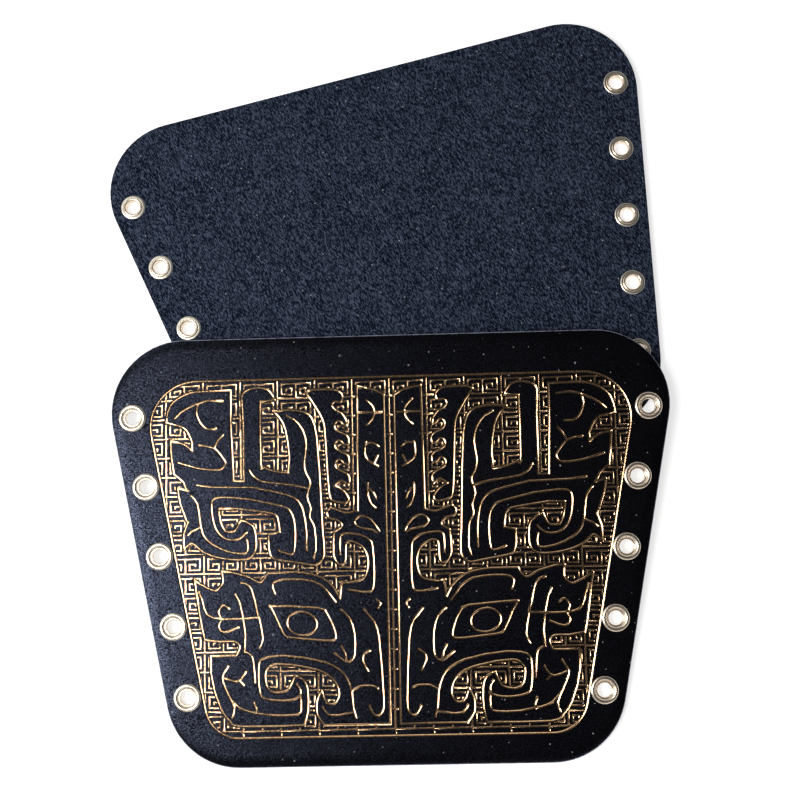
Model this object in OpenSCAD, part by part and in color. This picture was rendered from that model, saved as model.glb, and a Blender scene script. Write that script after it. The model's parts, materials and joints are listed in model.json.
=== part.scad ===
/* [Panel] */
// Distance between the two eyelet columns at the wide end
eyelet_span = 225; // [205:1:245]
// Lean of each side edge, in degrees
side_angle = 11; // [6:0.5:14]
// Corner radius of the panel
corner_r = 32; // [24:1:38]
// Distance from the wide edge to the first eyelet row
wide_margin = 34; // [28:1:40]
// Distance from the last eyelet row to the narrow edge
narrow_margin = 30; // [26:1:36]
// Thickness of the grain leather
leather_t = 1.8; // [1.2:0.1:3]
// Thickness of the suede lining
lining_t = 0.8; // [0.5:0.1:1.5]

/* [Eyelets] */
// Number of eyelets down each side
eyelet_rows = 5; // [4:1:5]
// Distance between eyelets along the side
eyelet_pitch = 30.75; // [26:0.25:32]
// Distance from an eyelet's centre to the side edge
eyelet_edge = 9.5; // [8:0.5:12]
// Diameter of the lace hole
hole_d = 6; // [4.5:0.1:6.5]
// Wall of the eyelet's barrel
barrel_t = 0.4; // [0.3:0.05:0.6]
// Diameter of the domed flange on the grain side
flange_d = 12; // [11:0.1:13]
// Height of the domed flange
flange_h = 0.9; // [0.6:0.1:1.2]
// Thickness of the flange's thin outer rim
flange_rim = 0.2; // [0.1:0.05:0.3]
// Diameter of the throat where the flange turns down into the hole
throat_d = 7.6; // [7.4:0.1:8]
// Depth of the throat's curve below the leather face
throat_depth = 0.5; // [0.2:0.1:0.8]
// Diameter of the rolled end on the lining side
roll_d = 8.6; // [8.2:0.1:9]
// Height of the rolled end above its washer
roll_h = 0.5; // [0.3:0.1:0.7]
// Diameter of the washer on the lining side
washer_d = 10.9; // [10:0.1:12]
// Thickness of the washer
washer_t = 0.4; // [0.3:0.1:0.6]
// Gap between the barrel and what it passes through
barrel_gap = 0.1; // [0.05:0.05:0.2]

/* [Ornament] */
// Width of the gilt outlines
line_w = 1.2; // [0.8:0.1:1.3]
// Width of the gilt key lines
key_w = 0.9; // [0.5:0.1:1]
// Thickness of the gilt layer
gilt_t = 0.15; // [0.1:0.05:0.3]
// Distance from the wide edge to the frame line
frame_wide_margin = 18.5; // [16:0.5:22]
// Distance from the narrow edge to the frame line
frame_narrow_margin = 12.5; // [11:0.5:16]
// Distance from the side edges to the frame line
frame_side_margin = 16; // [15.5:0.5:18]
// Corner radius of the frame line at the wide end
frame_wide_r = 20; // [12:0.5:24]
// Corner radius of the frame line at the narrow end
frame_narrow_r = 15; // [10:0.5:20]
// Width of one key of the ground pattern
key_pitch_x = 16.3; // [15:0.1:18]
// Height of one key of the ground pattern
key_pitch_y = 8.38; // [8:0.02:9.5]
// Distance from the middle line to each rail beside it
rail_x = 2.2; // [2:0.1:2.6]

/* [Pair as it lies] */
// Lean of the upper bracer, which rests on the lower one, in degrees
upper_lean = 2.05; // [2.05:0.05:3]
// Turn of the lower bracer against the upper one, in degrees
lower_turn = 13.2; // [12:0.1:14]
// Sideways place of the lower bracer's first eyelet row
lower_x = -4.3; // [-6:0.1:-2]
// Forward place of the lower bracer's first eyelet row
lower_y = 122; // [120:0.5:124]

/* [Hidden] */
SIDES = ["left", "right"];
ROWS = [1:eyelet_rows];

round_fn = 96;
corner_steps = 16;
stack_t = leather_t + lining_t;
bore_r = hole_d / 2;
barrel_r = bore_r + barrel_t;
pierce_r = barrel_r + barrel_gap;
row_drop = eyelet_pitch * cos(side_angle);
row_shift = eyelet_pitch * sin(side_angle);
panel_top = wide_margin;
panel_bottom = -(eyelet_rows - 1) * row_drop - narrow_margin;
panel_half = eyelet_span / 2 + eyelet_edge / cos(side_angle);
frame_top = panel_top - frame_wide_margin;
frame_bottom = panel_bottom + frame_narrow_margin;
frame_half = panel_half - frame_side_margin / cos(side_angle);

// Sizes of the field that the figures below are drawn on
drawn_top = 15.5;
drawn_bottom = -138.5;
drawn_half = 106;
fit_x = frame_half / drawn_half;
fit_y = (frame_top - frame_bottom) / (drawn_top - drawn_bottom);
function fit(p) = [p.x * fit_x, frame_top + (p.y - drawn_top) * fit_y];

// Height of the lowest point of the lying upper bracer's own frame
roll_drop = washer_t + roll_h;
last_row_y = -(eyelet_rows - 1) * row_drop;
upper_lift = max(-panel_bottom * sin(upper_lean),
    (roll_d / 2 - last_row_y) * sin(upper_lean) + roll_drop * cos(upper_lean));

// Figures on the right half of the field. A third value of 1 marks a sharp corner.
horn_figure = [
    [69.5, 11, 1], [84, 11], [89, 10], [93, 8], [96, 5], [97.5, 0.5], [98, -2.5, 1],
    [92, -4], [89, -6], [86.5, -11.5], [86.5, -15, 1], [88, -13.5], [91.5, -11.5], [96, -10.5, 1],
    [95.5, -18.5], [94.5, -25, 1], [90.5, -28.5], [88.5, -32.5, 1], [93, -31, 1],
    [92, -37.5], [89.5, -44.5], [88.5, -46, 1], [90.5, -51.5], [90.5, -58, 1],
    [88, -55.5], [86, -55.5], [81, -59.5], [73, -62], [63.5, -62.5], [59.5, -59.5], [59, -53.5],
    [60.5, -48], [65.5, -45.5, 1], [67.5, -49.5], [69.5, -50.5], [72.5, -50], [74.5, -45.5], [75, -40.5, 1],
    [67.5, -40.5], [57, -42], [50.5, -43.5], [49, -47.5], [48.5, -51, 1], [53.5, -52, 1],
    [53.5, -57.5], [52, -62], [47, -63.5], [38, -65], [33, -65.5], [29.5, -61.5], [30, -51],
    [30.5, -38], [31, -25], [32, -10], [34, -2], [38, 1], [45, 2], [51, 1.5, 1],
    [48, -1.5], [45.5, -7], [44, -18.5], [44.5, -25.5, 1], [49.5, -25], [55, -23], [56.5, -21], [56.5, 6, 1],
    [50, 6.5, 1], [52.5, 10.5], [57, 12], [62.5, 11], [64.5, 7.5], [64, -3], [64, -28.5, 1],
    [68.5, -28.5, 1], [69.5, -3]
];

crest = [[18, -30, 1], [18, -28], [19, -26.5], [21, -25.5], [23.5, -24], [24, -22], [23, -20.5],
    [21.5, -20.5], [20, -22], [18.5, -22.5, 1]];
crest_pitch = 8.4;
crest_count = 3;
comb_figure = concat(
    [[20.5, 8], [23, 10], [27, 10.5], [34, 10.5], [36.5, 9.5, 1], [33.5, 5], [30.5, 0], [28.5, -5.5],
        [28, -14], [27.5, -26], [27, -33.5], [26, -37.5], [22, -39], [19.5, -39], [18.5, -37], [21, -33.5],
        [24.5, -31.5, 1], [21.5, -29.5], [18.5, -31.5, 1]],
    [for (n = [0:crest_count - 1]) for (p = crest) [p.x, p.y + n * crest_pitch, p[2]]],
    [[18.5, -5, 1], [19, -3], [21, 0], [23, 1], [25, 3], [24, 5], [21, 5]]
);

mask_figure = [
    [rail_x, -133.5, 1], [rail_x, 7.5, 1], [5.5, 9.5], [9, 10.5], [14, 11.5, 1], [14.5, -42.5, 1],
    [18.5, -43.5], [21, -43], [26.5, -41, 1], [28, -43], [27, -45.5], [23.5, -46.5], [21.5, -49], [25, -51.5, 1],
    [25.5, -61], [23, -65.5], [20.5, -64.5], [20, -57.5], [19, -56], [16.5, -56], [12.5, -58.5],
    [10.5, -64], [11.5, -70], [14, -72.5], [19.5, -73.5], [22, -73, 1], [23, -80, 1],
    [25.5, -75.5], [30.5, -71], [38, -69], [42, -68.5], [54, -68.5, 1], [55.5, -71], [58, -72.5],
    [62.5, -70], [69.5, -68], [74, -67.5, 1], [73.5, -72], [75.5, -75], [78, -75.5], [83, -73], [86, -71, 1],
    [84, -83.5], [82.5, -92.5], [81.5, -96.5, 1], [75, -97.5], [69, -97.5], [66.5, -99.5], [67.5, -102.5],
    [69, -103.5], [79, -103.5, 1], [79, -111], [77.5, -118.5], [75, -125.5], [71.5, -130.5], [66, -133.5],
    [39, -133.5, 1], [37.5, -127.5], [37.5, -118.5], [39.5, -114], [43, -112.5, 1],
    [45.5, -118], [50, -119.5], [53, -119], [55, -116.5], [55.5, -111], [53, -108], [49.5, -107.5],
    [43.5, -108], [36, -109.5], [30, -111.5], [25.5, -115.5], [24, -120.5], [26, -124.5], [29.5, -124],
    [31.5, -119, 1], [33.5, -123], [33.5, -129], [30.5, -133.5, 1]
];
figures = [horn_figure, comb_figure, mask_figure];

// Open strokes inside the figures, from the middle column outwards
column_strokes = [
    [[10, 5.5], [7.5, 3], [6.5, 0], [7.5, -3], [10, -5.5]],
    [[3.5, 0], [13, 0]],
    [[5, -15], [7, -13.5], [10, -13.5]],
    [[10.5, -13], [11, -18], [9.5, -21], [5.5, -23.5]],
    [[5.5, -19], [7, -22]],
    [[10, -31], [10, -36], [8.5, -40], [7, -41.5]],
    [[9, -33.5], [7.5, -35], [6.5, -37.5]],
    [[5.5, -51.5], [9, -46.5], [13.5, -45], [16, -47.5], [13.5, -50], [8.5, -51], [6.5, -52]]
];
nose_strokes = [
    [[22.5, -61], [22.5, -55], [21, -52.5], [14, -53], [10, -55], [8.5, -58], [8, -69], [8.5, -75.5], [10, -77.5],
        [14, -77.5], [19, -76.5]],
    [[7, -81], [5.5, -82.5], [6.5, -84.5]],
    [[12.5, -85], [8.5, -90], [6.5, -97], [5.5, -111], [5, -123.5], [5.5, -128], [7.5, -130], [9.5, -129],
        [11, -126]],
    [[7.5, -118.5], [9.5, -117.5], [15, -117.5], [18.5, -119.5]],
    [[10.5, -102.5], [13, -104], [13.5, -107], [11.5, -111]],
    [[22.5, -85], [19, -88.5], [17, -95], [17, -103.5], [18.5, -106.5], [21, -107], [25.5, -103.5]],
    [[22.5, -100.5], [21, -103.5], [20.5, -106.5]]
];
eye_outline = [[53.5, -82.5, 1], [45, -83], [32.5, -84], [29.5, -85, 1], [27, -89.5], [25, -96], [27, -98],
    [34.5, -97.5], [44, -96.5], [47.5, -94.5], [51, -87]];
eye_strokes = [
    [[25, -81.5], [29, -76], [34.5, -72.5], [44, -71.5], [50, -72], [52, -74], [51, -77.5]]
];
pupil_place = [39.5, -90.5];
pupil_size = [6.5, 5];
pupil_turn = 10;
pupil_steps = 24;
ear_strokes = [
    [[65.5, -72.5], [62, -74], [60, -79.5], [58, -88], [56.5, -96.5], [58, -100.5]],
    [[68, -77.5], [66.5, -80.5], [65, -87], [64, -95], [64.5, -102]],
    [[64.5, -102], [61.5, -103.5], [60.5, -108], [60, -115]],
    [[58, -87.5], [68, -88], [77, -87.5], [81, -85], [82.5, -80], [84, -76]],
    [[71, -83.5], [73.5, -82], [75.5, -85], [74, -88]],
    [[74, -88], [75.5, -91], [73, -93.5], [67, -91.5]]
];
jaw_strokes = [
    [[71.5, -108], [73.5, -111], [74, -114], [71.5, -120], [69, -125.5], [70, -129.5]],
    [[73, -113], [68.5, -114.5], [66, -113.5], [64, -110.5]],
    [[66.5, -114.5], [65, -116]],
    [[69.5, -123], [67, -125.5], [62, -127.5], [53, -129], [43, -129], [40.5, -127], [40.5, -121]],
    [[42, -116], [40.5, -119], [42, -122], [48, -123], [55.5, -122], [58, -119], [58.5, -109], [56.5, -105],
        [48, -104], [39, -105], [30, -107], [24, -110], [20.5, -114], [18.5, -120], [18, -126.5], [17, -130.5]],
    [[18.5, -128.5], [24, -129.5], [29, -129], [31, -126]],
    [[60.5, -123.5], [59.5, -126], [59.5, -128]]
];
horn_strokes = [
    [[45, -0.5], [41.5, -2.5], [38, -7], [36.5, -13.5], [37.5, -21], [37, -25.5], [35, -30], [36.5, -36],
        [35, -41], [35.5, -45], [33.5, -49.5], [33, -59], [34, -62.5]],
    [[36, -32.5], [42, -31], [50, -30], [56, -29], [60, -26.5], [61.5, -24]],
    [[84.5, -30], [78, -31], [60, -31.5], [49, -34], [42, -36.5], [38.5, -41.5], [37, -51], [37, -59]],
    [[49, -59], [45.5, -60.5], [42.5, -59.5], [42, -49], [44, -42], [49, -39.5], [62, -36.5], [72, -35.5], [77.5, -36.5],
        [78, -42.5], [76.5, -49], [73, -53], [69.5, -54], [66, -53.5], [63, -51]],
    [[63, -54], [62.5, -57.5], [64, -60], [71, -59], [77.5, -56], [82, -51.5], [83.5, -44], [84.5, -38],
        [87, -34.5]],
    [[83.5, -48.5], [87, -50], [88.5, -51.5]],
    [[73, 6.5], [79, 7], [86, 5], [91.5, 2], [94, -0.5]],
    [[83.5, 6], [84.5, 2], [83, -2.5], [80, -5.5], [76, -5.5]],
    [[73, -8.5], [75, -10.5], [76.5, -13.5]],
    [[83.5, -12.5], [77, -14], [73, -18.5], [72, -21], [75, -23.5], [84.5, -22.5], [92.5, -20]]
];
mask_strokes = concat(column_strokes, nose_strokes, eye_strokes, ear_strokes, jaw_strokes);

// A smooth curve through hand-placed points, finer where it bends more. The hidden face is drawn coarser.
fine_bend = 13;
coarse_bend = 36;
$bend = fine_bend;
max_steps = 6;
function point_at(points, i, closed) = closed
    ? points[(i + len(points)) % len(points)]
    : points[max(0, min(len(points) - 1, i))];
function sharp(p) = len(p) > 2 && p[2] == 1;
function flat(p) = [p.x, p.y];
function turn(a, b) = let (m = norm(a) * norm(b)) m == 0 ? 0 : acos(max(-1, min(1, a * b / m)));
function blend(a, b, c, d, t) = b + t * (c - a) / 2 + t * t * (2 * a - 5 * b + 4 * c - d) / 2
    + t * t * t * (3 * b - a - 3 * c + d) / 2;
function span_points(a, b, c, d) =
    let (steps = min(max_steps, max(1, ceil((turn(b - a, c - b) + turn(c - b, d - c)) / 2 / $bend))))
    [for (s = [0:steps - 1]) blend(a, b, c, d, s / steps)];
function smooth(points, closed = false) = [
    for (i = [0:len(points) - (closed ? 1 : 2)])
        let (
            b = point_at(points, i, closed),
            c = point_at(points, i + 1, closed),
            a = sharp(b) ? b : point_at(points, i - 1, closed),
            d = sharp(c) ? c : point_at(points, i + 2, closed)
        )
        each span_points(flat(a), flat(b), flat(c), flat(d)),
    if (!closed) flat(points[len(points) - 1])
];

// The parts of a closed outline between its sharp corners, each an open curve
function corners(points) = [for (i = [0:len(points) - 1]) if (sharp(points[i])) i];
function run_between(points, i, j) = [for (k = [i:j]) points[k % len(points)]];
function runs(points) =
    let (at = corners(points), n = len(at))
    [for (i = [0:n - 1]) run_between(points, at[i], i < n - 1 ? at[i + 1] : at[0] + len(points))];

// A closed outline with straight slanting sides and four round corners
function arc(cx, cy, r, from, to) = [
    for (s = [0:corner_steps]) let (a = from + (to - from) * s / corner_steps) [cx + r * cos(a), cy + r * sin(a)]
];
function side_x(half, y) = half + y * tan(side_angle);
function corner_x(half, y, r) = side_x(half, y) - r / cos(side_angle);
function plate_points(half, top, bottom, top_r, bottom_r) =
    let (
        right = concat(
            arc(corner_x(half, bottom + bottom_r, bottom_r), bottom + bottom_r, bottom_r, -90, -side_angle),
            arc(corner_x(half, top - top_r, top_r), top - top_r, top_r, -side_angle, 90)
        ),
        n = len(right)
    )
    concat(right, [for (i = [1:n]) [-right[n - i].x, right[n - i].y]]);
panel_points = plate_points(panel_half, panel_top, panel_bottom, corner_r, corner_r);
frame_points = plate_points(frame_half, frame_top, frame_bottom, frame_wide_r, frame_narrow_r);

// A hair-thin ribbon along a path, which an offset then widens into a line
hair = 0.02;
function way(a, b) = (b - a) / norm(b - a);
function side_step(path, i) =
    let (
        n = len(path),
        before = i > 0 ? way(path[i - 1], path[i]) : way(path[i], path[i + 1]),
        after = i < n - 1 ? way(path[i], path[i + 1]) : before,
        along = (before + after) / norm(before + after)
    )
    [-along.y, along.x] * hair / max(0.5, along * before);
module hair_line(path) {
    n = len(path);
    polygon(concat(path, [for (i = [1:n]) path[n - i] + side_step(path, n - i)]));
}
module line(path, width) {
    offset(delta = (width - hair) / 2) hair_line(path);
}
module both_halves() {
    children();
    mirror([1, 0, 0]) children();
}

// The figures' areas and lines
module figure_areas() {
    both_halves() for (f = figures) polygon([for (p = smooth(f, true)) fit(p)]);
}
module lines_of(outlines, strokes) {
    for (f = outlines) for (r = runs(f)) line([for (p = smooth(r)) fit(p)], line_w);
    for (s = strokes) line([for (p = smooth(s)) fit(p)], line_w);
}
module pupil_line() {
    difference() {
        pupil(line_w / 2);
        pupil(-line_w / 2);
    }
}
module pupil(grow) {
    polygon([
        for (i = [0:pupil_steps - 1])
            let (
                a = 360 * i / pupil_steps,
                u = (pupil_size.x + grow) * cos(a),
                v = (pupil_size.y + grow) * sin(a)
            )
            fit([pupil_place.x + u * cos(pupil_turn) - v * sin(pupil_turn),
                pupil_place.y + u * sin(pupil_turn) + v * cos(pupil_turn)])
    ]);
}
module frame_line() {
    difference() {
        offset(delta = line_w / 2) polygon(frame_points);
        offset(delta = -line_w / 2) polygon(frame_points);
    }
}

// The key ground: rows and columns with two square spirals in every cell, cut clear of the figures
key_gap = 0.1;
key_inset = 1.8;
key_bar_drop = 2;
key_curl_low = 1.7;
key_curl_gap = 1.8;
key_curl_high = 2.2;
key_curl_out = 2.5;
key_curl_end = 0.9;
key_rows = floor((frame_top - frame_bottom) / key_pitch_y);
function row_y(j) = frame_top - j * key_pitch_y;
module key_cell() {
    reach = key_pitch_x / 2 - key_inset;
    low = key_curl_low - key_pitch_y;
    high = -key_bar_drop - key_curl_high;
    curl_x = key_curl_gap + key_curl_out;
    line([[0, -key_bar_drop], [0, -key_pitch_y]], key_w);
    for (s = [-1, 1])
        line([[0, -key_bar_drop], [s * reach, -key_bar_drop], [s * reach, low], [s * key_curl_gap, low],
            [s * key_curl_gap, high], [s * curl_x, high], [s * curl_x, high - key_curl_end]], key_w);
}
// The figures grown past their outlines, with square corners that reach no further than a line's own ends
module figure_clearance() {
    grow = line_w / 2 + key_gap;
    intersection() {
        offset(delta = grow) figure_areas();
        offset(r = grow * 1.45, $fn = 16) figure_areas();
    }
}
module rail_strip() {
    low = fit(mask_figure[0]);
    high = fit(mask_figure[1]);
    polygon([[-low.x, low.y], [low.x, low.y], [high.x, high.y], [-high.x, high.y]]);
}
// One row line and what stands on it, up to just under the row line above
module key_band(j) {
    top = row_y(j) - key_w / 2 - key_gap;
    low = max(row_y(j + 1) - key_w / 2, frame_bottom);
    reach = side_x(frame_half, row_y(j));
    columns = ceil(reach / key_pitch_x);
    difference() {
        intersection() {
            union() {
                for (i = [-columns:columns]) line([[i * key_pitch_x, top], [i * key_pitch_x, low]], key_w);
                if (j < key_rows) {
                    line([[-reach, row_y(j + 1)], [reach, row_y(j + 1)]], key_w);
                    difference() {
                        for (i = [-columns:columns - 1])
                            translate([(i + 0.5) * key_pitch_x, row_y(j)]) key_cell();
                        rail_strip();
                    }
                }
            }
            translate([-reach, low]) square([2 * reach, top - low]);
            offset(delta = -line_w / 2 - key_gap) polygon(frame_points);
        }
        figure_clearance();
    }
}

// One bracer, lining side down, with its first eyelet row on the X axis
module eyelet_place(side, row) {
    s = side == "left" ? -1 : 1;
    translate([s * (eyelet_span / 2 - (row - 1) * row_shift), -(row - 1) * row_drop, 0]) children();
}
module sheet(z, t) {
    difference() {
        translate([0, 0, z]) linear_extrude(t) polygon(panel_points);
        for (s = SIDES) for (k = ROWS)
            eyelet_place(s, k) translate([0, 0, z - 1]) cylinder(h = t + 2, r = pierce_r, $fn = round_fn);
    }
}
module grain_leather() {
    color([0.06, 0.06, 0.08]) sheet(lining_t, leather_t);
}
module suede_lining() {
    color([0.11, 0.12, 0.18]) sheet(0, lining_t);
}
// Slivers narrower than this are dropped, and no corner grows past the second value
least_w = 0.3;
corner_grow = 0.05;
module without_slivers() {
    intersection() {
        offset(delta = least_w / 2) offset(delta = -least_w / 2) children();
        offset(delta = corner_grow) children();
    }
}
module gilt_layer() {
    color([0.8, 0.66, 0.4]) translate([0, 0, stack_t]) linear_extrude(gilt_t)
        offset(delta = 0.001) without_slivers() children();
}
module gilt_figures(bend) {
    $bend = bend;
    gilt_layer() frame_line();
    both_halves() {
        gilt_layer() lines_of([horn_figure], horn_strokes);
        gilt_layer() lines_of([comb_figure], []);
        gilt_layer() {
            lines_of([mask_figure, eye_outline], mask_strokes);
            pupil_line();
        }
    }
}
module gilt_key_ground() {
    for (j = [0:key_rows]) gilt_layer() key_band(j);
}
dome_steps = 8;
module eyelet() {
    crown_r = (flange_d + throat_d) / 4;
    half_w = (flange_d - throat_d) / 4;
    throat_r = throat_d / 2;
    back = -washer_t;
    roll_c = (roll_d / 2 + barrel_r) / 2;
    roll_w = (roll_d / 2 - barrel_r) / 2;
    color([0.8, 0.76, 0.68]) rotate_extrude($fn = round_fn) polygon(concat(
        [[flange_d / 2, stack_t]],
        [for (s = [0:dome_steps]) let (a = 180 * s / dome_steps)
            [crown_r + half_w * cos(a), stack_t + flange_rim + (flange_h - flange_rim) * sin(a)]],
        [for (s = [1:3]) let (a = 90 * s / 3)
            [bore_r + (throat_r - bore_r) * (1 - sin(a)), stack_t + flange_rim * cos(a) - throat_depth * (1 - cos(a))]],
        [[bore_r, back]],
        [for (s = [0:dome_steps]) let (a = 180 - 180 * s / dome_steps)
            [(bore_r + roll_d / 2) / 2 + (roll_d / 2 - bore_r) / 2 * cos(a), back - roll_h * sin(a)]],
        [[barrel_r, back], [barrel_r, stack_t]]
    ));
}
module washer() {
    inner = barrel_r + barrel_gap;
    edge = washer_t / 2;
    color([0.78, 0.75, 0.68]) rotate_extrude($fn = round_fn) polygon([
        [inner, 0], [inner, -washer_t], [washer_d / 2 - 2 * edge, -washer_t], [washer_d / 2, -edge / 2],
        [washer_d / 2, 0]
    ]);
}

// The two bracers as they lie, centred over the origin and resting on the ground plane
function upper_xy(p, z) = [p.x, p.y * cos(upper_lean) - z * sin(upper_lean)];
function lower_xy(p) = [
    lower_x - p.x * cos(lower_turn) - p.y * sin(lower_turn),
    lower_y - p.x * sin(lower_turn) + p.y * cos(lower_turn)
];
pair_points = concat(
    [for (z = [0, stack_t]) for (p = panel_points) upper_xy(p, z)],
    [for (p = panel_points) lower_xy(p)]
);
function middle(values) = (min(values) + max(values)) / 2;
centre = [middle([for (p = pair_points) p.x]), middle([for (p = pair_points) p.y])];
module upper_place() {
    translate([-centre.x, -centre.y, upper_lift]) rotate([upper_lean, 0, 0]) children();
}
module lower_place() {
    translate([lower_x - centre.x, lower_y - centre.y, stack_t + flange_h])
        rotate([0, 0, lower_turn]) rotate([0, 180, 0]) children();
}

// Each piece at its place, named after the bracer that it belongs to
upper_place() grain_leather();  // upper_grain_leather
upper_place() suede_lining();  // upper_suede_lining
upper_place() gilt_figures(fine_bend);  // upper_gilt_figures
upper_place() gilt_key_ground();  // upper_gilt_key_ground
lower_place() grain_leather();  // lower_grain_leather
lower_place() suede_lining();  // lower_suede_lining
lower_place() gilt_figures(coarse_bend);  // lower_gilt_figures
for (s = SIDES) for (k = ROWS) {
    upper_place() eyelet_place(s, k) eyelet();
    upper_place() eyelet_place(s, k) washer();
    lower_place() eyelet_place(s, k) eyelet();
    lower_place() eyelet_place(s, k) washer();
}
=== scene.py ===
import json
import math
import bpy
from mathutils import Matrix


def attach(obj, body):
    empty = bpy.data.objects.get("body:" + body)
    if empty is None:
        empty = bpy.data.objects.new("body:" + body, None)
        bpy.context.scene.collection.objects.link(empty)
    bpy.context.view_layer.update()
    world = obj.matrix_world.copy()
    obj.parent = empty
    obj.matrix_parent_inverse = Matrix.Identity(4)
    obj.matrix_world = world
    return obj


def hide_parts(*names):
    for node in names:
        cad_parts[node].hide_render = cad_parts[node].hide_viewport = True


bl_info = {
    "name": "Laced Leather Bracer Pair",
    "version": (1, 0, 0),
    "blender": (4, 5, 0),
    "location": "3D Viewport > Sidebar > Bracers",
    "description": "Dresses a pair of gilt-tooled leather bracers with grain, foil, suede and eyelets",
    "category": "Object",
}

import bmesh
import bpy
from mathutils import Matrix, Vector

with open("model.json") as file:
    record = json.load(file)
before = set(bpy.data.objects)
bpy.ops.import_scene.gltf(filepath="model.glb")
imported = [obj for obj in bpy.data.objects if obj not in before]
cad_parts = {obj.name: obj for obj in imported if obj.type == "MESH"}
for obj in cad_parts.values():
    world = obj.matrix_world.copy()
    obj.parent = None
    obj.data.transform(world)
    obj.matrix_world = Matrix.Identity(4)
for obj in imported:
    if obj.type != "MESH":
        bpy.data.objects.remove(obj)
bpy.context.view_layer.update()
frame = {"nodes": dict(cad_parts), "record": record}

BRACERS = ("upper", "lower")
LACE_HOLES = [(side, row) for side in ("left", "right") for row in range(1, 6)]
MOUNTS = {m["name"]: m for m in frame["record"]["mounts"]}
MM = 0.001

# Levels in a bracer's own frame, in millimetres, with zero halfway down the lace holes
FACE_Z = 1.65
SEAM_Z = -0.15
BACK_Z = -0.95
LEVEL_TOLERANCE = 0.03
MERGE_DISTANCE = 0.002

# Upward part of a face's normal by which it counts as level, upright, rounded over or smooth
LEVEL_NORMAL = 0.99
UPRIGHT_NORMAL = 0.1
ROUNDED_NORMALS = (0.05, 0.95)
SMOOTH_NORMALS = (0.02, 0.9999)

# Widths and slopes, in mm and degrees, by which the leather falls off to its edge, from the edge inwards
EDGE_ROLL = ((0.7, 14), (0.8, 10.5), (0.9, 7.5), (1.0, 4.5), (1.1, 2))
LEATHER_RIM_STEPS = 4
LINING_RIM_STEPS = 3

# A hair by which the gilt lines' slots are let out, so that no two of them meet along one edge only
SLOT_EASE = 0.004
SLOT_MERGE_DISTANCE = 0.0001
SLOT_TOP_Z = FACE_Z + 0.3

# Punched holes, in mm
PUNCH_RADIUS = 3.5
PUNCH_LENGTH = 12
PUNCH_SIDES = 48

# Twice the area, in square mm, under which a flat triangle counts as turned over
LEAST_TRIANGLE = 1e-5

# Widths and falls, in mm, of the steps from a foil line's edge to its hollow middle, and how much painted
# shade each ends with
HOLLOWS = {
    "figures": ((0.03, 0.05), (0.17, 0.083), (0.17, 0.067), (0.17, 0.052)),
    "key_ground": ((0.03, 0.05), (0.12, 0.059), (0.12, 0.047), (0.12, 0.037)),
}
EDGE_SHADE_OF_STEPS = (1.0, 0.5, 0.0, 0.0)
GAP_UNDER_FOIL = 0.02

# Half sections of an eyelet and a washer, as radii and heights in mm
EYELET_PROFILE = (
    (5.70, 1.64), (6.00, 1.66), (6.02, 1.95), (5.72, 2.34), (5.05, 2.56), (4.40, 2.38),
    (4.02, 1.96), (3.76, 1.66), (3.48, 1.78), (3.20, 1.72), (3.02, 1.40), (3.00, 0.00),
    (3.03, -1.10), (3.22, -1.62), (3.68, -1.90), (4.20, -1.80), (4.38, -1.46), (4.10, -1.36),
    (3.46, -1.34), (3.40, -1.10), (3.40, 1.30), (3.44, 1.60), (4.60, 1.62),
)
WASHER_PROFILE = (
    (3.52, -0.96), (5.30, -0.96), (5.48, -1.00), (5.44, -1.16),
    (5.14, -1.34), (4.70, -1.38), (4.20, -1.34), (3.52, -1.33),
)
RING_SIDES = 28
RING_SMOOTHING = 2
EYELET_ROUGH = 0.24
WASHER_ROUGH = 0.28

# Finish of the leather, and how strongly dust shows
PEBBLES_PER_MM = 1.1
COOL_SHINE = (0.55, 0.64, 1.0, 1)
DUST_STRENGTH = 0.5
TARNISH = 0.8

# The floor, in metres, with how far each ring of its swept-up rim grows and rises
FLOOR_RADIUS = 1.6
FLOOR_SIDES = 96
FLOOR_RIM = ((1.25, 0.06), (1.18, 0.2), (1.08, 0.35), (1.03, 0.8))
FLOOR_GAP = 0.00005
FLOOR_COLOUR = (0.55, 0.55, 0.55, 1)
FLOOR_GLOW = 0.72

# Each lamp's place and size in metres, its power in watts and its colour
LAMPS = {
    "key": ((-0.51, -0.16, 0.73), (0.36, 0.6), 9.0, (1.0, 0.99, 0.97)),
    "back": ((-0.44, 0.42, 0.62), (0.3, 0.3), 0.7, (1.0, 0.98, 0.95)),
    "front": ((0.15, -0.85, 0.55), (0.9, 0.35), 1.0, (1.0, 0.96, 0.9)),
}
WORLD_COLOUR = (0.95, 0.97, 1.0, 1)
WORLD_STRENGTH = 0.04

# The camera's place in metres, the directions of its picture, and its lens and sensor in mm
CAMERA_PLACE = (0.0226, -0.0836, 0.56923)
CAMERA_RIGHT = Vector((0.99926, -0.02121, -0.03222))
CAMERA_UP = Vector((0.02531, 0.99079, 0.13299))
CAMERA_LENS = 58.5
CAMERA_SENSOR = 36
CAMERA_NEAR = 0.01


# Frames and meshes


def hole(bracer, side, row):
    """Middle of a lace hole in the row frame."""
    return Vector(MOUNTS[f"{bracer}_lace_hole_{side}_{row}"]["pos_m"])


def lie_of(bracer):
    """Matrix from a bracer's own frame, in millimetres, to the row frame, in metres."""
    left, right = hole(bracer, "left", 1), hole(bracer, "right", 1)
    z = Vector(MOUNTS[f"{bracer}_lace_hole_left_1"]["axis"]).normalized()
    x = (right - left).normalized()
    x = (x - z * x.dot(z)).normalized()
    y = z.cross(x)
    lie = Matrix((x, y, z)).transposed().to_4x4()
    lie.translation = (left + right) / 2
    return lie @ Matrix.Scale(MM, 4)


LIE = {bracer: lie_of(bracer) for bracer in BRACERS}


def hole_in_frame(bracer, side, row):
    """Middle of a lace hole in its bracer's own frame, in millimetres."""
    return LIE[bracer].inverted() @ hole(bracer, side, row)


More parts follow.
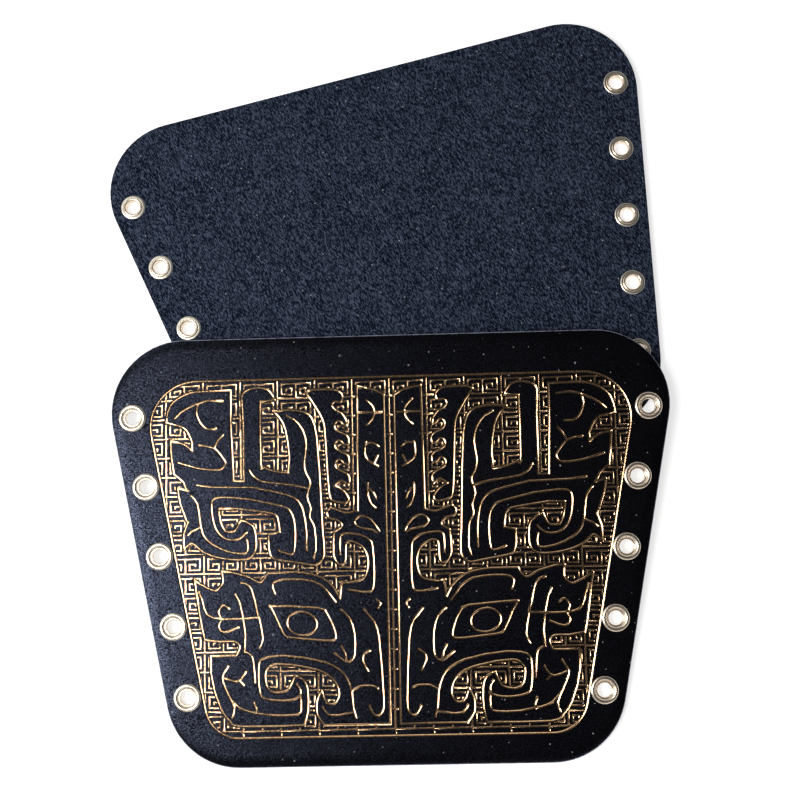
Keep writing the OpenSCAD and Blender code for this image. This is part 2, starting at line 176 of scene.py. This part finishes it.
def node_copy(node, bracer, merge=MERGE_DISTANCE):
    """A merged copy of a CAD node in its bracer's own frame."""
    bm = bmesh.new()
    bm.from_mesh(frame["nodes"][node].data)
    bmesh.ops.transform(bm, matrix=LIE[bracer].inverted(), verts=bm.verts)
    bmesh.ops.remove_doubles(bm, verts=bm.verts, dist=merge)
    bm.normal_update()
    return bm


def object_from(bm, name):
    """An object in the scene with a bmesh's mesh, which is then freed."""
    mesh = bpy.data.meshes.new(name)
    bm.to_mesh(mesh)
    bm.free()
    made = bpy.data.objects.new(name, mesh)
    bpy.context.scene.collection.objects.link(made)
    return made


def settle(bm, name, bracer, material, nodes):
    """Makes a piece from a mesh in its bracer's own frame, rides it on its bracer and hides the CAD nodes
    it replaces.
    """
    bmesh.ops.transform(bm, matrix=LIE[bracer], verts=bm.verts)
    piece = object_from(bm, name)
    piece.data.materials.append(material)
    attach(piece, f"{bracer}_bracer")
    if nodes:
        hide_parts(*nodes)
    return piece


def faces_at(bm, level):
    """Faces that lie flat at a level."""
    return [f for f in bm.faces if all(abs(v.co.z - level) < LEVEL_TOLERANCE for v in f.verts)]


def corners(faces):
    """All the vertices of some faces."""
    return {v for f in faces for v in f.verts}


def inset(bm, faces, width, rise):
    """Draws in the edge of a region and raises what is inside it, and gives the faces of the new step."""
    made = bmesh.ops.inset_region(bm, faces=faces, thickness=width, depth=rise, use_even_offset=False)
    return made["faces"]


def shade_slopes(bm):
    """Shades sloping faces smooth, and level and upright ones flat."""
    upright, level = SMOOTH_NORMALS
    for f in bm.faces:
        f.smooth = upright < abs(f.normal.z) < level


def rounded(bm, faces, level, radius, steps, roll=()):
    """Rounds the rim of a flat region, which keeps its level, and lets it fall off along a roll."""
    up = 1 if faces[0].normal.z > 0 else -1
    steepest = math.pi / 2 - (math.radians(roll[0][1]) if roll else 0)
    round_off = [
        (radius * (1 - math.cos(steepest * k / steps)), radius * math.sin(steepest * k / steps))
        for k in range(steps + 1)
    ]
    rises = [(b[0] - a[0], b[1] - a[1]) for a, b in zip(round_off, round_off[1:])]
    rises += [(width, width * math.tan(math.radians(slope))) for width, slope in roll]
    for v in corners(faces):
        v.co.z = level - up * sum(rise for _, rise in rises)
    for width, rise in rises:
        inset(bm, faces, width, rise)


def outer_loop(bm, level):
    """Points of the outer edge of a flat face, in order."""
    faces = set(faces_at(bm, level))
    edges = {e for f in faces for e in f.edges if len(faces & set(e.link_faces)) == 1}
    edge = max(edges, key=lambda e: e.verts[0].co.x)
    verts = [edge.verts[0]]
    while len(verts) < 2 or verts[-1] != verts[0]:
        verts.append(edge.other_vert(verts[-1]))
        edge = next(e for e in verts[-1].link_edges if e in edges and e is not edge)
    return [(v.co.x, v.co.y) for v in verts[:-1]]


def solid_panel(points, low, high):
    """A closed sheet over an outline, without its holes."""
    bm = bmesh.new()
    under = bm.faces.new([bm.verts.new((x, y, low)) for x, y in points])
    made = bmesh.ops.extrude_face_region(bm, geom=[under])["geom"]
    raised = [g for g in made if isinstance(g, bmesh.types.BMVert)]
    bmesh.ops.translate(bm, verts=raised, vec=(0, 0, high - low))
    bmesh.ops.recalc_face_normals(bm, faces=bm.faces)
    bm.normal_update()
    return bm


# Material building


class Nodes:
    """A material's node tree, with short calls for the nodes that the finishes share."""

    def __init__(self, name):
        self.material = bpy.data.materials.new(name)
        self.material.use_nodes = True
        self.tree = self.material.node_tree
        self.shader = self.tree.nodes["Principled BSDF"]
        self.output = self.tree.nodes["Material Output"]

    def give(self, socket, value):
        """Links an output to a socket, or sets the socket to a plain value."""
        if isinstance(value, bpy.types.NodeSocket):
            self.tree.links.new(value, socket)
        else:
            socket.default_value = value

    def add(self, kind, inputs, **settings):
        """A node with its settings made and its inputs given."""
        node = self.tree.nodes.new(kind)
        for name, value in settings.items():
            setattr(node, name, value)
        for name, value in inputs.items():
            self.give(node.inputs[name], value)
        return node

    def shaded(self, inputs):
        """The material, once its shader is given these inputs."""
        for name, value in inputs.items():
            self.give(self.shader.inputs[name], value)
        return self.material

    def place(self, lengths=(1, 1, 1), turn=0.0):
        """Object coordinates in millimetres, turned and then drawn out along each axis."""
        inputs = {
            "Vector": self.add("ShaderNodeTexCoord", {}).outputs["Object"],
            "Scale": [s * MM for s in lengths],
            "Rotation": (0, 0, turn),
        }
        return self.add("ShaderNodeMapping", inputs, vector_type="TEXTURE").outputs["Vector"]

    def noise(self, place, per_mm, detail=2.0, rough=0.5):
        """Cloudy values about a half."""
        inputs = {"Vector": place, "Scale": per_mm, "Detail": detail, "Roughness": rough}
        return self.add("ShaderNodeTexNoise", inputs).outputs["Fac"]

    def vary(self, place, per_mm, middle, reach, detail=3.0, rough=0.5):
        """A value that wanders by its reach to either side of its middle."""
        noise = self.noise(place, per_mm, detail, rough)
        return self.remap(noise, 0.3, 0.7, middle - reach, middle + reach)

    def warp(self, place, per_mm, reach_mm):
        """Coordinates pushed about by noise, so that cells lose their straight sides."""
        noise = self.add("ShaderNodeTexNoise", {"Vector": place, "Scale": per_mm})
        inputs = {0: noise.outputs["Color"], 1: (reach_mm, reach_mm, reach_mm), 2: place}
        return self.add("ShaderNodeVectorMath", inputs, operation="MULTIPLY_ADD").outputs["Vector"]

    def cells(self, place, per_mm, feature="F1"):
        """Distance in a flat pattern of cells, which stands upright through the sheet."""
        inputs = {"Vector": place, "Scale": per_mm}
        node = self.add("ShaderNodeTexVoronoi", inputs, feature=feature, voronoi_dimensions="2D")
        return node.outputs["Distance"]

    def attribute(self, name):
        """A number that the mesh holds at its vertices."""
        return self.add("ShaderNodeAttribute", {}, attribute_name=name).outputs["Fac"]

    def remap(self, value, low, high, to_low=0.0, to_high=1.0):
        """A value moved from one range to another and kept inside it."""
        inputs = {"Value": value, "From Min": low, "From Max": high, "To Min": to_low, "To Max": to_high}
        return self.add("ShaderNodeMapRange", inputs).outputs["Result"]

    def math(self, operation, a, b):
        """Two values added, multiplied or compared."""
        return self.add("ShaderNodeMath", {0: a, 1: b}, operation=operation).outputs["Value"]

    def blend(self, factor, a, b):
        """A colour between two, each of them a socket or three plain numbers."""
        a, b = (c if isinstance(c, bpy.types.NodeSocket) else (*c, 1) for c in (a, b))
        node = self.add("ShaderNodeMix", {}, data_type="RGBA")
        for socket, value in ((node.inputs["Factor"], factor), (node.inputs[6], a), (node.inputs[7], b)):
            self.give(socket, value)
        return node.outputs[2]

    def bump(self, height, depth_mm, strength=1.0, before=None):
        """A normal tilted by a height, on top of the one before it."""
        inputs = {"Strength": strength, "Distance": depth_mm * MM, "Height": height}
        if before is not None:
            inputs["Normal"] = before
        return self.add("ShaderNodeBump", inputs).outputs["Normal"]


def gilt_tint(n, flat, look):
    """Fresh gilt with rubbed patches."""
    rubbed = n.remap(n.noise(flat, 0.9, detail=4, rough=0.6), 0.35, 0.7)
    return n.blend(rubbed, look.gilt, look.gilt_worn)


def dusted(n, cells, near, far, tint, look):
    """A tint with a pale speck in the middle of each cell, which fades from near to far."""
    dust = n.remap(cells, near, far, 1.0, 0.0)
    return n.blend(n.math("MULTIPLY", dust, DUST_STRENGTH), tint, look.dust)


def leather_material(look):
    """Pebbled black grain, pale along its rim with a painted highlight and some rubbed wear, and gilded on
    the lips of the stamped lines.
    """
    n = Nodes("grain leather")
    flat = n.place()

    # Pebbles with domed tops, and the pores in them
    bent = n.warp(flat, 0.5, reach_mm=0.5)
    pebble = n.remap(n.cells(bent, PEBBLES_PER_MM, "DISTANCE_TO_EDGE"), 0.0, 0.3)
    dome = n.cells(bent, PEBBLES_PER_MM)
    pores = n.noise(flat, 1.7, detail=1, rough=0.6)

    # Broad tones, the pale rim (a painted highlight along the rounded edge, partly rubbed wear) and dust of
    # several sizes
    broad = n.remap(n.noise(flat, 0.03, detail=3), 0.35, 0.65)
    tint = n.blend(broad, look.leather_dark, look.leather_light)
    rubbed = n.remap(n.noise(flat, 0.35, detail=3, rough=0.6), 0.36, 0.52, 0.35, 1.0)
    # The rim's pale colour is a painted highlight along the rounded edge, broken up by rubbed wear
    tint = n.blend(n.math("MULTIPLY", n.attribute("rim"), rubbed), tint, look.rim_highlight_and_wear)
    sizes = n.remap(n.noise(flat, 0.4, detail=1), 0.3, 0.7, 0.6, 2.0)
    specks = n.math("MULTIPLY", n.cells(flat, 0.085), sizes)
    tint = dusted(n, specks, 0.016, 0.026, tint, look)

    # Gilding with a ragged edge, and a shine that the pores break up
    ragged = n.vary(flat, 1.1, 0.0, 0.12, detail=2)
    gilded = n.remap(n.math("ADD", n.attribute("gilded"), ragged), 0.78, 0.92)
    pebble_shine = n.remap(pebble, 0.0, 1.0, 0.35, 1.0)
    pore_shine = n.remap(pores, 0.36, 0.64, 0.0, 0.71)

    # Broad waves below the grain
    rise = n.bump(n.noise(flat, 0.05, detail=2), 0.25)
    for height, depth_mm in ((dome, -0.03), (pebble, 0.012), (pores, 0.015)):
        rise = n.bump(height, depth_mm, before=rise)
    return n.shaded({
        "Base Color": n.blend(gilded, tint, gilt_tint(n, flat, look)),
        "Metallic": gilded,
        "Roughness": n.vary(flat, 0.6, look.leather_rough, 0.015),
        "Specular IOR Level": n.math("MULTIPLY", pebble_shine, pore_shine),
        "Specular Tint": COOL_SHINE,
        "Normal": rise,
    })


def suede_material(look):
    """Short blue-black nap, brushed two ways, with darker patches and dust."""
    n = Nodes("suede lining")
    flat = n.place()
    along = n.noise(n.place((1.0, 3.6, 1.0), math.radians(30)), 2.7, detail=1)
    across = n.noise(n.place((1.0, 2.2, 1.0), math.radians(-35)), 2.7, detail=1)
    fibre = n.math("MAXIMUM", along, n.math("MULTIPLY", across, 0.8))
    patches = n.vary(flat, 0.06, 0.0, 0.08, detail=4, rough=0.6)
    tone = n.math("ADD", n.remap(fibre, 0.48, 0.64), patches)
    tint = n.blend(tone, look.suede_dark, look.suede_light)
    hills = n.bump(n.noise(flat, 0.2, detail=3), 0.4, 0.5)
    return n.shaded({
        "Base Color": dusted(n, n.cells(flat, 0.06), 0.012, 0.022, tint, look),
        "Roughness": 0.95,
        "Specular IOR Level": 0.05,
        "Sheen Weight": 0.04,
        "Sheen Roughness": 0.5,
        "Normal": n.bump(fibre, 0.30, 0.9, hills),
    })


def foil_material(look):
    """Gilt foil with painted shade along its edges, rubbed patches and a hammered face."""
    n = Nodes("gilt foil")
    flat = n.place()
    # The foil turns near black towards its edges: painted shade along the sides of the stamped lines
    edge = n.remap(n.attribute("edge"), 0.35, 0.65)
    hammered = n.bump(n.cells(flat, 1.15), -0.014)
    return n.shaded({
        "Base Color": n.blend(edge, gilt_tint(n, flat, look), look.gilt_edge_shade),
        "Metallic": 1.0,
        "Roughness": n.vary(flat, 1.4, look.gilt_rough, 0.03),
        "Normal": n.bump(n.noise(flat, 2.4, detail=3, rough=0.6), 0.012, 0.7, hammered),
    })


def metal_material(name, colour, rough):
    """Plain metal that is duller and rougher where it is tarnished."""
    n = Nodes(name)
    flat = n.place()
    tarnish = n.noise(flat, 0.7, detail=3, rough=0.6)
    dull = [c * TARNISH for c in colour]
    return n.shaded({
        "Base Color": n.blend(n.remap(tarnish, 0.45, 0.75), colour, dull),
        "Metallic": 1.0,
        "Roughness": n.remap(tarnish, 0.3, 0.7, rough, rough + 0.1),
        "Normal": n.bump(n.noise(flat, 0.8), 0.008, 0.5),
    })


# Properties


def colour_property(name, description, default):
    return bpy.props.FloatVectorProperty(
        name=name, description=description, default=default, subtype="COLOR", size=3, min=0.0, max=1.0
    )


def rough_property(name, description, default, low, high):
    return bpy.props.FloatProperty(
        name=name, description=description, default=default, min=low, max=high, subtype="FACTOR"
    )


def mm_property(name, description, default, low, high):
    return bpy.props.FloatProperty(
        name=name, description=f"{description}, in mm", default=default, min=low, max=high, precision=3
    )


class BRACER_PG_looks(bpy.types.PropertyGroup):
    """Colours and finishes of the pair."""

    leather_dark: colour_property(
        "Leather Dark", "Darker tone of the grain leather", (0.0018, 0.0016, 0.0020)
    )
    leather_light: colour_property(
        "Leather Light", "Lighter tone of the grain leather", (0.0026, 0.0024, 0.0028)
    )
    leather_rough: rough_property("Leather Roughness", "Roughness of the grain face", 0.27, 0.2, 0.8)
    # Pale rim colour: a painted highlight along the leather's rounded rim, partly rubbed wear
    rim_highlight_and_wear: colour_property("Rim Highlight And Wear", "Colour of the leather's rubbed rim", (0.34, 0.37, 0.48))
    suede_dark: colour_property(
        "Suede Dark", "Tone between the fibres of the lining", (0.0020, 0.0046, 0.0125)
    )
    suede_light: colour_property(
        "Suede Light", "Tone of the lining's raised fibres", (0.064, 0.080, 0.128)
    )
    gilt: colour_property("Gilt", "Colour of the fresh gilt foil", (0.91, 0.635, 0.385))
    gilt_worn: colour_property("Gilt Worn", "Colour of the rubbed gilt foil", (0.54, 0.305, 0.15))
    # Near-black edge colour of the foil: painted shade along the sides of the stamped lines
    gilt_edge_shade: colour_property("Gilt Edge Shade", "Colour of the foil's dull edge", (0.055, 0.032, 0.017))
    gilt_rough: rough_property("Gilt Roughness", "Roughness of the foil", 0.2, 0.1, 0.7)
    eyelet: colour_property("Eyelet", "Colour of the eyelets", (0.84, 0.72, 0.58))
    washer: colour_property("Washer", "Colour of the washers", (0.84, 0.78, 0.66))
    dust: colour_property("Dust", "Colour of the tiny pale specks", (0.55, 0.56, 0.6))


class BRACER_PG_shapes(bpy.types.PropertyGroup):
    """Sizes of the finer shapes, in millimetres."""

    rim_radius: mm_property("Leather Rim", "Rounding of the leather's cut rim", 0.55, 0.1, 0.8)
    lining_rim: mm_property("Lining Rim", "Rounding of the lining's cut rim", 0.3, 0.1, 0.4)
    groove_depth: mm_property("Groove Depth", "Depth of the stamped lines below the face", 0.6, 0.4, 0.8)
    foil_drop: mm_property("Foil Drop", "Depth of the foil's edge below the face", 0.13, 0.1, 0.3)
    lip_width: mm_property("Lip Width", "Width of the slope beside a stamped line", 0.25, 0.05, 0.3)
    lip_drop: mm_property("Lip Drop", "Fall of the slope beside a stamped line", 0.11, 0.0, 0.2)


# Grain leather


def gilt_slot(bracer, depth):
    """A cutter for a bracer's stamped lines and punched holes, from every gilt solid of the upper one."""
    bm = bmesh.new()
    for part in HOLLOWS:
        lines = node_copy(f"upper_gilt_{part}", "upper", SLOT_MERGE_DISTANCE)
        for v in lines.verts:
            v.co += v.normal * SLOT_EASE
        mesh = bpy.data.meshes.new("lines")
        lines.to_mesh(mesh)
        lines.free()
        bm.from_mesh(mesh)
        bpy.data.meshes.remove(mesh)
    for v in bm.verts:
        v.co.z = SLOT_TOP_Z if v.co.z > FACE_Z + LEVEL_TOLERANCE else FACE_Z - depth
    for side, row in LACE_HOLES:
        place = hole_in_frame(bracer, side, row)
        bmesh.ops.create_cone(
            bm, cap_ends=True, segments=PUNCH_SIDES, radius1=PUNCH_RADIUS, radius2=PUNCH_RADIUS,
            depth=PUNCH_LENGTH, matrix=Matrix.Translation((place.x, place.y, 0)),
        )
    return object_from(bm, f"{bracer} slot")


def cut_by(bm, cutter):
    """The mesh with the cutter taken out of it."""
    sheet = object_from(bm, "sheet to cut")
    cut = sheet.modifiers.new("slots", "BOOLEAN")
    cut.operation = "DIFFERENCE"
    cut.solver = "EXACT"
    cut.use_self = True
    cut.object = cutter
    graph = bpy.context.evaluated_depsgraph_get()
    made = bpy.data.meshes.new_from_object(sheet.evaluated_get(graph))
    result = bmesh.new()
    result.from_mesh(made)
    for spent in (sheet, cutter):
        data = spent.data
        bpy.data.objects.remove(spent)
        bpy.data.meshes.remove(data)
    bpy.data.meshes.remove(made)
    return result


def mark_rim(bm):
    """Writes the attribute that is 1 along the rounded rim, where the leather's painted highlight goes, and
    makes the empty one for the gilding.
    """
    bm.normal_update()
    for name in ("rim", "gilded"):
        bm.verts.layers.float.new(name)
    rim = bm.verts.layers.float["rim"]
    low, high = ROUNDED_NORMALS
    for v in bm.verts:
        v[rim] = 1.0 if all(low < f.normal.z < high for f in v.link_faces) else 0.0


def turned_over(face):
    """Whether a triangle of the flat face has lost its area or turned over."""
    a, b, c = (v.co for v in face.verts)
    return (b - a).cross(c - a).z < LEAST_TRIANGLE


def press_lips(bm, width, drop, groove_depth):
    """Slopes the face down to each slot, as a stamp presses leather, and marks the slopes as gilded."""
    bmesh.ops.triangulate(bm, faces=faces_at(bm, FACE_Z))
    bm.normal_update()
    top = [f for f in faces_at(bm, FACE_Z) if f.normal.z > LEVEL_NORMAL]
    lips = {v for v in corners(top) if any(abs(g.normal.z) < UPRIGHT_NORMAL for g in v.link_faces)}
    places = [[v.co.copy() for v in f.verts] for f in top]
    inset(bm, top, width, 0)

    # Where a gap is too narrow for two lips, its triangles turn over, and their corners go back
    before = {v: place for f, row in zip(top, places) for v, place in zip(f.verts, row)}
    turned = [f for f in top if turned_over(f)]
    while turned:
        moved = {v for v in corners(turned) if v.co != before[v]}
        if not moved:
            break
        for v in moved:
            v.co = before[v]
        turned = [f for f in {f for v in moved for f in v.link_faces} & set(top) if turned_over(f)]

    # Only lips over a stamped line's floor are gilded, and not those round the punched holes
    gilded = bm.verts.layers.float["gilded"]
    for v in lips - corners(top):
        foot = [e.other_vert(v) for e in v.link_edges if e.other_vert(v).co.z < FACE_Z - groove_depth / 2]
        for w in (v, *foot):
            w[gilded] = 1.0 if all(u.co.z > FACE_Z - groove_depth - LEVEL_TOLERANCE for u in foot) else 0.0
        v.co.z -= drop
    bm.normal_update()


class BRACER_OT_grain_leather(bpy.types.Operator):
    """Two grain leather panels with rounded rims and slots stamped for the gilt lines"""

    bl_idname = "bracer.grain_leather"
    bl_label = "Grain Leather"

    def execute(self, context):
        looks, shapes = context.scene.bracer_looks, context.scene.bracer_shapes
        material = leather_material(looks)
        for bracer in BRACERS:
            node = f"{bracer}_grain_leather"
            cad = node_copy(node, bracer)
            bm = solid_panel(outer_loop(cad, FACE_Z), SEAM_Z, FACE_Z)
            cad.free()
            rounded(bm, faces_at(bm, FACE_Z), FACE_Z, shapes.rim_radius, LEATHER_RIM_STEPS, EDGE_ROLL)
            bm = cut_by(bm, gilt_slot(bracer, shapes.groove_depth))
            if any(not e.is_manifold for e in bm.edges):
                raise RuntimeError(f"the {bracer} panel isn't closed after its slots are cut")
            mark_rim(bm)
            press_lips(bm, shapes.lip_width, shapes.lip_drop, shapes.groove_depth)
            shade_slopes(bm)
            settle(bm, f"{bracer}_tooled_leather", bracer, material, [node])
        return {"FINISHED"}


# Suede lining


class BRACER_OT_suede_lining(bpy.types.Operator):
    """Two suede linings with softened rims"""

    bl_idname = "bracer.suede_lining"
    bl_label = "Suede Lining"

    def execute(self, context):
        looks, shapes = context.scene.bracer_looks, context.scene.bracer_shapes
        material = suede_material(looks)
        for bracer in BRACERS:
            node = f"{bracer}_suede_lining"
            bm = node_copy(node, bracer)
            rounded(bm, faces_at(bm, BACK_Z), BACK_Z, shapes.lining_rim, LINING_RIM_STEPS)
            shade_slopes(bm)
            settle(bm, f"{bracer}_napped_lining", bracer, material, [node])
        return {"FINISHED"}


# Gilt lines


def hollow_foil(part, edge_z, foot_z):
    """A copy of a gilt solid, sunk into its slot, with sharp edges, painted shade along them and a hollow
    face.
    """
    bm = node_copy(f"upper_gilt_{part}", "upper")
    # Attribute for the painted shade, 1 at the foil's edge and 0 in its middle
    edge = bm.verts.layers.float.new("edge")
    for v in bm.verts:
        v[edge] = 1.0
        v.co.z = edge_z if v.co.z > FACE_Z + LEVEL_TOLERANCE else foot_z
    bm.normal_update()
    top = [f for f in bm.faces if f.normal.z > LEVEL_NORMAL]
    rim = {e for f in top for e in f.edges if any(g.normal.z < LEVEL_NORMAL for g in e.link_faces)}
    for f in bm.faces:
        f.smooth = False
    for e in rim:
        e.smooth = False
    for (width, fall), edge_shade in zip(HOLLOWS[part], EDGE_SHADE_OF_STEPS):
        for f in inset(bm, top, width, -fall):
            f.smooth = True
        for v in corners(top):
            v[edge] = edge_shade
    for f in top:
        f.smooth = True
    return bm


class BRACER_OT_gilt_lines(bpy.types.Operator):
    """The foil in the stamped lines: figures, frame line and key ground, each with a hollow face"""

    bl_idname = "bracer.gilt_lines"
    bl_label = "Gilt Lines"

    def execute(self, context):
        looks, shapes = context.scene.bracer_looks, context.scene.bracer_shapes
        material = foil_material(looks)
        edge_z = FACE_Z - shapes.foil_drop
        foot_z = FACE_Z - shapes.groove_depth + GAP_UNDER_FOIL
        for bracer in BRACERS:
            for part in HOLLOWS:
                bm = hollow_foil(part, edge_z, foot_z)
                node = f"{bracer}_gilt_{part}"
                nodes = [node] if node in frame["nodes"] else []
                settle(bm, f"{bracer}_foil_{part}", bracer, material, nodes)
        return {"FINISHED"}


# Eyelets and washers


def ring(profile):
    """A closed ring turned from a profile, with its faces outwards."""
    bm = bmesh.new()
    points = [bm.verts.new((r, 0, z)) for r, z in profile]
    edges = [bm.edges.new((points[k - 1], points[k])) for k in range(len(points))]
    bmesh.ops.spin(
        bm, geom=points + edges, cent=(0, 0, 0), axis=(0, 0, 1), angle=2 * math.pi,
        steps=RING_SIDES, use_merge=True,
    )
    bmesh.ops.remove_doubles(bm, verts=bm.verts, dist=MERGE_DISTANCE)
    bmesh.ops.recalc_face_normals(bm, faces=bm.faces)
    for f in bm.faces:
        f.smooth = True
    mesh = bpy.data.meshes.new("ring")
    bm.to_mesh(mesh)
    bm.free()
    return mesh


def rings_at_holes(part, profile, material):
    """The same turned ring at every lace hole of both bracers."""
    mesh = ring(profile)
    for bracer in BRACERS:
        for side, row in LACE_HOLES:
            bm = bmesh.new()
            bm.from_mesh(mesh)
            place = hole_in_frame(bracer, side, row)
            bmesh.ops.translate(bm, verts=bm.verts, vec=(place.x, place.y, 0))
            name = f"{bracer}_{part}_ring_{side}_{row}"
            piece = settle(bm, name, bracer, material, [f"{bracer}_{part}_{side}_{row}"])
            smooth = piece.modifiers.new("smooth", "SUBSURF")
            smooth.levels = smooth.render_levels = RING_SMOOTHING
    bpy.data.meshes.remove(mesh)


class BRACER_OT_eyelets(bpy.types.Operator):
    """Twenty eyelets, each a domed flange, a barrel and a rolled end, turned from one profile"""

    bl_idname = "bracer.eyelets"
    bl_label = "Eyelets"

    def execute(self, context):
        material = metal_material("eyelet metal", context.scene.bracer_looks.eyelet, EYELET_ROUGH)
        rings_at_holes("eyelet", EYELET_PROFILE, material)
        return {"FINISHED"}


class BRACER_OT_washers(bpy.types.Operator):
    """Twenty dished washers under the eyelets' rolled ends"""

    bl_idname = "bracer.washers"
    bl_label = "Washers"

    def execute(self, context):
        material = metal_material("washer metal", context.scene.bracer_looks.washer, WASHER_ROUGH)
        rings_at_holes("washer", WASHER_PROFILE, material)
        return {"FINISHED"}


# Stage


def floor_material():
    """A plain pale floor that the camera, metal and gloss see as white."""
    n = Nodes("pale floor")
    n.tree.nodes.remove(n.shader)
    rays = n.add("ShaderNodeLightPath", {})
    seen = n.math("ADD", rays.outputs["Is Camera Ray"], rays.outputs["Is Glossy Ray"])
    seen = n.math("ADD", seen, rays.outputs["Is Transmission Ray"])
    plain = n.add("ShaderNodeBsdfDiffuse", {"Color": FLOOR_COLOUR})
    glow = n.add("ShaderNodeEmission", {"Strength": n.math("MULTIPLY", seen, FLOOR_GLOW)})
    both = n.add("ShaderNodeAddShader", {0: plain.outputs["BSDF"], 1: glow.outputs["Emission"]})
    n.give(n.output.inputs["Surface"], both.outputs["Shader"])
    return n.material


def swept_floor():
    """A round floor just under the pair, with a rim that sweeps up into a backdrop."""
    bm = bmesh.new()
    bmesh.ops.create_circle(bm, cap_ends=True, radius=FLOOR_RADIUS, segments=FLOOR_SIDES)
    rim = [e for e in bm.edges if e.is_boundary]
    for grow, rise in FLOOR_RIM:
        made = bmesh.ops.extrude_edge_only(bm, edges=rim)["geom"]
        verts = [g for g in made if isinstance(g, bmesh.types.BMVert)]
        rim = [g for g in made if isinstance(g, bmesh.types.BMEdge)]
        bmesh.ops.scale(bm, verts=verts, vec=(grow, grow, 1))
        bmesh.ops.translate(bm, verts=verts, vec=(0, 0, rise))
    bmesh.ops.recalc_face_normals(bm, faces=bm.faces)
    bmesh.ops.translate(bm, verts=bm.verts, vec=(0, 0, -FLOOR_GAP))
    for f in bm.faces:
        f.smooth = True
    floor = object_from(bm, "floor")
    floor.data.materials.append(floor_material())
    return floor


def lamp(name, place, size, power, colour):
    """An area lamp that looks at the middle of the pair."""
    light = bpy.data.lights.new(name, "AREA")
    light.shape = "RECTANGLE"
    light.size, light.size_y = size
    light.energy = power
    light.color = colour
    holder = bpy.data.objects.new(name, light)
    bpy.context.scene.collection.objects.link(holder)
    holder.location = place
    holder.rotation_euler = (-Vector(place)).to_track_quat("-Z", "Y").to_euler()


def studio_world():
    """A faint even light from all round."""
    world = bpy.data.worlds.new("studio")
    world.use_nodes = True
    background = world.node_tree.nodes["Background"]
    background.inputs["Color"].default_value = WORLD_COLOUR
    background.inputs["Strength"].default_value = WORLD_STRENGTH
    return world


def camera_above():
    """The camera that looks down at the pair."""
    camera = bpy.data.objects.new("camera", bpy.data.cameras.new("camera"))
    bpy.context.scene.collection.objects.link(camera)
    back = CAMERA_RIGHT.cross(CAMERA_UP)
    turn = Matrix((CAMERA_RIGHT, CAMERA_UP, back)).transposed().to_4x4()
    camera.matrix_world = Matrix.Translation(CAMERA_PLACE) @ turn
    camera.data.sensor_width = CAMERA_SENSOR
    camera.data.lens = CAMERA_LENS
    camera.data.clip_start = CAMERA_NEAR
    return camera


class BRACER_OT_stage(bpy.types.Operator):
    """The pale floor, the soft lamps, the world and the camera"""

    bl_idname = "bracer.stage"
    bl_label = "Stage"

    def execute(self, context):
        scene = context.scene
        swept_floor()
        for name, settings in LAMPS.items():
            lamp(name, *settings)
        scene.world = studio_world()
        scene.view_settings.view_transform = "Standard"
        scene.camera = camera_above()
        return {"FINISHED"}


# Panel and registration


class BRACER_PT_panel(bpy.types.Panel):
    """Lists the looks, the sizes and the pieces of the pair in the order they are made"""

    bl_idname = "BRACER_PT_panel"
    bl_label = "Bracer Pair"
    bl_space_type = "VIEW_3D"
    bl_region_type = "UI"
    bl_category = "Bracers"

    def draw(self, context):
        for group in (context.scene.bracer_looks, context.scene.bracer_shapes):
            for name in group.__annotations__:
                self.layout.prop(group, name)
        for operator in OPERATORS:
            self.layout.operator(operator.bl_idname)


OPERATORS = (
    BRACER_OT_stage,
    BRACER_OT_grain_leather,
    BRACER_OT_suede_lining,
    BRACER_OT_gilt_lines,
    BRACER_OT_eyelets,
    BRACER_OT_washers,
)
CLASSES = (BRACER_PG_looks, BRACER_PG_shapes, *OPERATORS, BRACER_PT_panel)


def register():
    for cls in CLASSES:
        bpy.utils.register_class(cls)
    bpy.types.Scene.bracer_looks = bpy.props.PointerProperty(type=BRACER_PG_looks)
    bpy.types.Scene.bracer_shapes = bpy.props.PointerProperty(type=BRACER_PG_shapes)


def unregister():
    del bpy.types.Scene.bracer_shapes
    del bpy.types.Scene.bracer_looks
    for cls in reversed(CLASSES):
        bpy.utils.unregister_class(cls)


def main():
    register()
    bpy.ops.bracer.stage()
    bpy.ops.bracer.grain_leather()
    bpy.ops.bracer.suede_lining()
    bpy.ops.bracer.gilt_lines()
    bpy.ops.bracer.eyelets()
    bpy.ops.bracer.washers()


if __name__ == "__main__":
    main()
